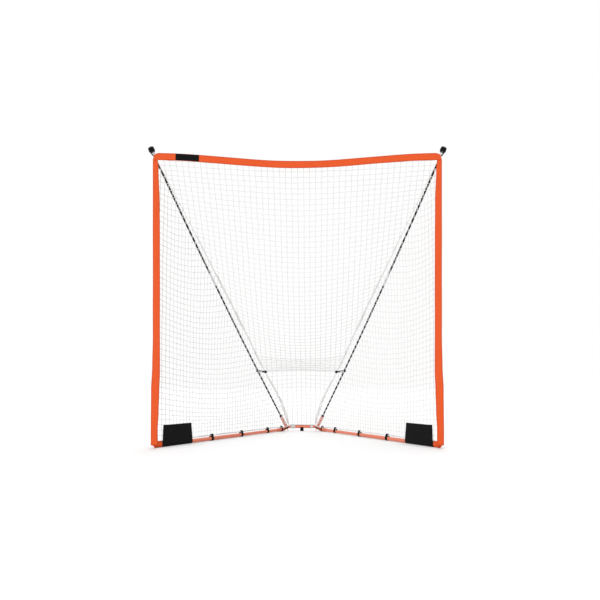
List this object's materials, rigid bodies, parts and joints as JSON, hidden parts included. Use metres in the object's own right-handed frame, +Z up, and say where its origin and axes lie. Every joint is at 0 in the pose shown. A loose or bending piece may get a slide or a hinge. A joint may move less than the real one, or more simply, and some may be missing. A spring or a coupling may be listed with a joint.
{
  "type": "lacrosse goal",
  "caption": "Portable lacrosse goal: V-shaped tube base on the ground, bowed rods up to the top corners, webbing bands round the mouth and a white net behind.",
  "frame": {"origin": "on the ground under the middle of the whole goal's bounding box", "axes": "+Z up; the mouth faces -Y; +X to the right of someone who looks into the mouth"},
  "size_m": [1.8664, 1.4052, 1.8886],
  "materials": {
    "orange_paint": "orange powder coat, satin",
    "orange_webbing": "orange woven webbing",
    "black_fabric": "black woven fabric and braided cord",
    "black_rubber": "matt black rubber",
    "black_plastic": "moulded black plastic",
    "black_rod": "drawn black glass fibre rod",
    "white_cord": "white twisted and knotted polyester cord",
    "bright_steel": "plated steel, semi-bright"
  },
  "bodies": {
    "frame_and_net": {"rear_hub": "orange_paint", "top_band": "orange_webbing", "band_label": "black_fabric", "rear_foot": "black_rubber", "hem_rope": "white_cord", "top_net": "white_cord", "back_net": "white_cord", "cross_seam": "white_cord", "left_rod_socket": "orange_paint", "left_side_band": "orange_webbing", "left_hub_strap": "black_fabric", "left_corner_cord": "black_fabric", "left_bungee_cord": "black_fabric", "left_socket_liner": "black_plastic", "left_rod_upper": "black_rod", "left_rod_lower": "black_rod", "left_tip_sleeve": "white_cord", "left_side_net": "white_cord", "left_net_seam": "white_cord", "left_rod_ferrule": "bright_steel", "right_rod_socket": "orange_paint", "right_side_band": "orange_webbing", "right_hub_strap": "black_fabric", "right_corner_cord": "black_fabric", "right_bungee_cord": "black_fabric", "right_socket_liner": "black_plastic", "right_rod_upper": "black_rod", "right_rod_lower": "black_rod", "right_tip_sleeve": "white_cord", "right_side_net": "white_cord", "right_net_seam": "white_cord", "right_rod_ferrule": "bright_steel"},
    "left_arm": {"left_front_tube": "orange_paint", "left_rear_tube": "orange_paint", "left_button_spring": "bright_steel", "left_end_plug": "black_plastic", "left_band_pocket": "orange_webbing", "left_corner_panel": "black_fabric", "left_hem_strap_1": "black_fabric", "left_hem_strap_2": "black_fabric", "left_hem_strap_3": "black_fabric"},
    "left_button": {"left_snap_button": "bright_steel"},
    "left_cap": {"left_rod_cap": "black_rubber"},
    "left_ball": {"left_bungee_ball": "black_plastic"},
    "right_arm": {"right_front_tube": "orange_paint", "right_rear_tube": "orange_paint", "right_button_spring": "bright_steel", "right_end_plug": "black_plastic", "right_band_pocket": "orange_webbing", "right_corner_panel": "black_fabric", "right_hem_strap_1": "black_fabric", "right_hem_strap_2": "black_fabric", "right_hem_strap_3": "black_fabric"},
    "right_button": {"right_snap_button": "bright_steel"},
    "right_cap": {"right_rod_cap": "black_rubber"},
    "right_ball": {"right_bungee_ball": "black_plastic"}
  },
  "joints": [
    {"name": "left_arm_slide", "type": "slide", "parent": "frame_and_net", "child": "left_arm", "axis": [-0.4866, -0.8736, 0], "range_m": [0, 0.045]},
    {"name": "left_button_press", "type": "slide", "parent": "left_arm", "child": "left_button", "axis": [0.8736, -0.4866, 0], "range_m": [0, 0.0042], "stiffness_N_per_m": 1500, "springref_m": -0.001, "deforming": ["left_button_spring"]},
    {"name": "left_cap_pull", "type": "slide", "parent": "frame_and_net", "child": "left_cap", "axis": [-0.3014, -0.5693, 0.7649], "range_m": [0, 0.02]},
    {"name": "left_ball_stretch", "type": "slide", "parent": "frame_and_net", "child": "left_ball", "axis": [0.9033, -0.42, 0.0872], "range_m": [0, 0.03], "stiffness_N_per_m": 250, "deforming": ["left_bungee_cord"]},
    {"name": "right_arm_slide", "type": "slide", "parent": "frame_and_net", "child": "right_arm", "axis": [0.4866, -0.8736, 0], "range_m": [0, 0.045]},
    {"name": "right_button_press", "type": "slide", "parent": "right_arm", "child": "right_button", "axis": [-0.8736, -0.4866, 0], "range_m": [0, 0.0042], "stiffness_N_per_m": 1500, "springref_m": -0.001, "deforming": ["right_button_spring"]},
    {"name": "right_cap_pull", "type": "slide", "parent": "frame_and_net", "child": "right_cap", "axis": [0.3014, -0.5693, 0.7649], "range_m": [0, 0.02]},
    {"name": "right_ball_stretch", "type": "slide", "parent": "frame_and_net", "child": "right_ball", "axis": [-0.9033, -0.42, 0.0872], "range_m": [0, 0.03], "stiffness_N_per_m": 250, "deforming": ["right_bungee_cord"]}
  ]
}
